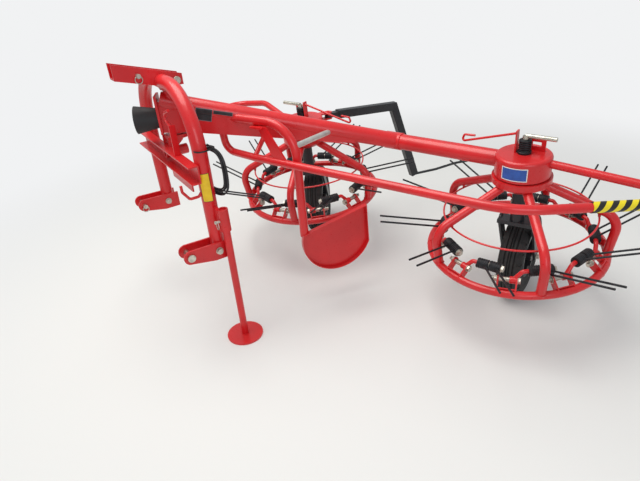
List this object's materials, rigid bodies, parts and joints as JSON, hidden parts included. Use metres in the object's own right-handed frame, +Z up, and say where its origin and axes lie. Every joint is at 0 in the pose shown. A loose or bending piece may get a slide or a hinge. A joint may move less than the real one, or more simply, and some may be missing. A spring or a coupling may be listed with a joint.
{
  "type": "hay tedder",
  "caption": "Two-rotor hay tedder with a swivelling three-point headstock, tined rings, castor wheels, a tubular guard, a swath gate and a parking jack.",
  "frame": {"origin": "on the ground, in the middle of the machine's length and width, between the two rotors", "axes": "+X from the far rotor to the near one, +Y to the rear, away from the tractor, +Z up"},
  "size_m": [2.4125, 2.1387, 1.2145],
  "materials": {
    "red_paint": "glossy red paint",
    "black_paint": "black paint",
    "black_tine": "satin black",
    "zinc": "zinc plate",
    "bare_steel": "machined and greased",
    "tyre": "matte rubber",
    "rim": "black paint",
    "stripe_sleeve": "yellow and black bands",
    "guard_plastic": "matte black",
    "cord": "braided cord"
  },
  "bodies": {
    "frame": {"main_arm": "red_paint", "cross_tube_near": "red_paint", "cross_tube_far": "red_paint", "rotor_head_near": "red_paint", "rotor_head_far": "red_paint", "crank_bracket_near": "red_paint", "crank_bracket_far": "red_paint", "height_crank_near": "zinc", "height_crank_far": "zinc", "guard_near": "red_paint", "guard_far": "red_paint", "end_sleeve_near": "stripe_sleeve", "end_sleeve_far": "stripe_sleeve", "swath_hoop": "red_paint", "divider_plate": "red_paint", "brace_bar": "zinc", "input_guard": "guard_plastic"},
    "input": {"input_shaft": "bare_steel"},
    "headstock": {"headstock_arch": "red_paint", "cross_member": "red_paint", "lower_link_brackets": "red_paint", "lower_link_pins": "zinc", "top_link_bracket": "red_paint", "top_link_pin": "zinc", "swivel_pins": "zinc", "latch_handle": "red_paint", "storage_hook": "red_paint", "jack_sleeve": "red_paint", "cord_hank": "cord"},
    "jack": {"jack_leg": "red_paint"},
    "near_rotor": {"rotor_near": "red_paint", "tine_ring_near": "red_paint", "tine_pins_near": "zinc", "tines_near": "black_tine"},
    "far_rotor": {"rotor_far": "red_paint", "tine_ring_far": "red_paint", "tine_pins_far": "zinc", "tines_far": "black_tine"},
    "near_castor": {"castor_fork_near": "black_paint"},
    "far_castor": {"castor_fork_far": "black_paint"},
    "near_wheel": {"rim_near": "rim", "tyre_near": "tyre"},
    "far_wheel": {"rim_far": "rim", "tyre_far": "tyre"},
    "gate": {"swath_gate": "black_paint"}
  },
  "joints": [
    {"name": "headstock_swivel", "type": "hinge", "parent": "frame", "child": "headstock", "pos_m": [-0.672, -0.766, 0.98], "axis": [0, 0, 1], "range_deg": [-12, 12]},
    {"name": "jack_slide", "type": "slide", "parent": "headstock", "child": "jack", "axis": [0, 0, 1], "range_m": [0, 0.38]},
    {"name": "near_rotor_spin", "type": "hinge", "parent": "frame", "child": "near_rotor", "pos_m": [0.6047, 0.022, 0.321], "axis": [0, -0.0802, 0.9968], "continuous": true},
    {"name": "far_rotor_spin", "type": "hinge", "parent": "frame", "child": "far_rotor", "pos_m": [-0.6103, 0.022, 0.321], "axis": [0, -0.0802, 0.9968], "continuous": true},
    {"name": "input_spin", "type": "hinge", "parent": "frame", "child": "input", "pos_m": [-0.71852, -0.8183, 0.96], "axis": [-0.6646, -0.7472, 0], "continuous": true},
    {"name": "near_castor_swivel", "type": "hinge", "parent": "frame", "child": "near_castor", "pos_m": [0.6047, 0.022, 0.321], "axis": [0, -0.0802, 0.9968], "continuous": true},
    {"name": "far_castor_swivel", "type": "hinge", "parent": "frame", "child": "far_castor", "pos_m": [-0.6103, 0.022, 0.321], "axis": [0, -0.0802, 0.9968], "continuous": true},
    {"name": "near_wheel_spin", "type": "hinge", "parent": "near_castor", "child": "near_wheel", "pos_m": [0.59424, 0.15124, 0.20529], "axis": [0.9962, 0.0869, 0.007], "continuous": true},
    {"name": "far_wheel_spin", "type": "hinge", "parent": "far_castor", "child": "far_wheel", "pos_m": [-0.67389, 0.1333, 0.2066], "axis": [0.848, 0.5282, 0.0425], "continuous": true},
    {"name": "gate_swing", "type": "hinge", "parent": "frame", "child": "gate", "pos_m": [-0.553, 0.142, 0.748], "axis": [0, 0, 1], "range_deg": [-20, 20]}
  ],
  "couplings": [
    {"joint": "far_rotor_spin", "follows": "near_rotor_spin", "ratio": -1},
    {"joint": "input_spin", "follows": "near_rotor_spin", "ratio": 3}
  ]
}
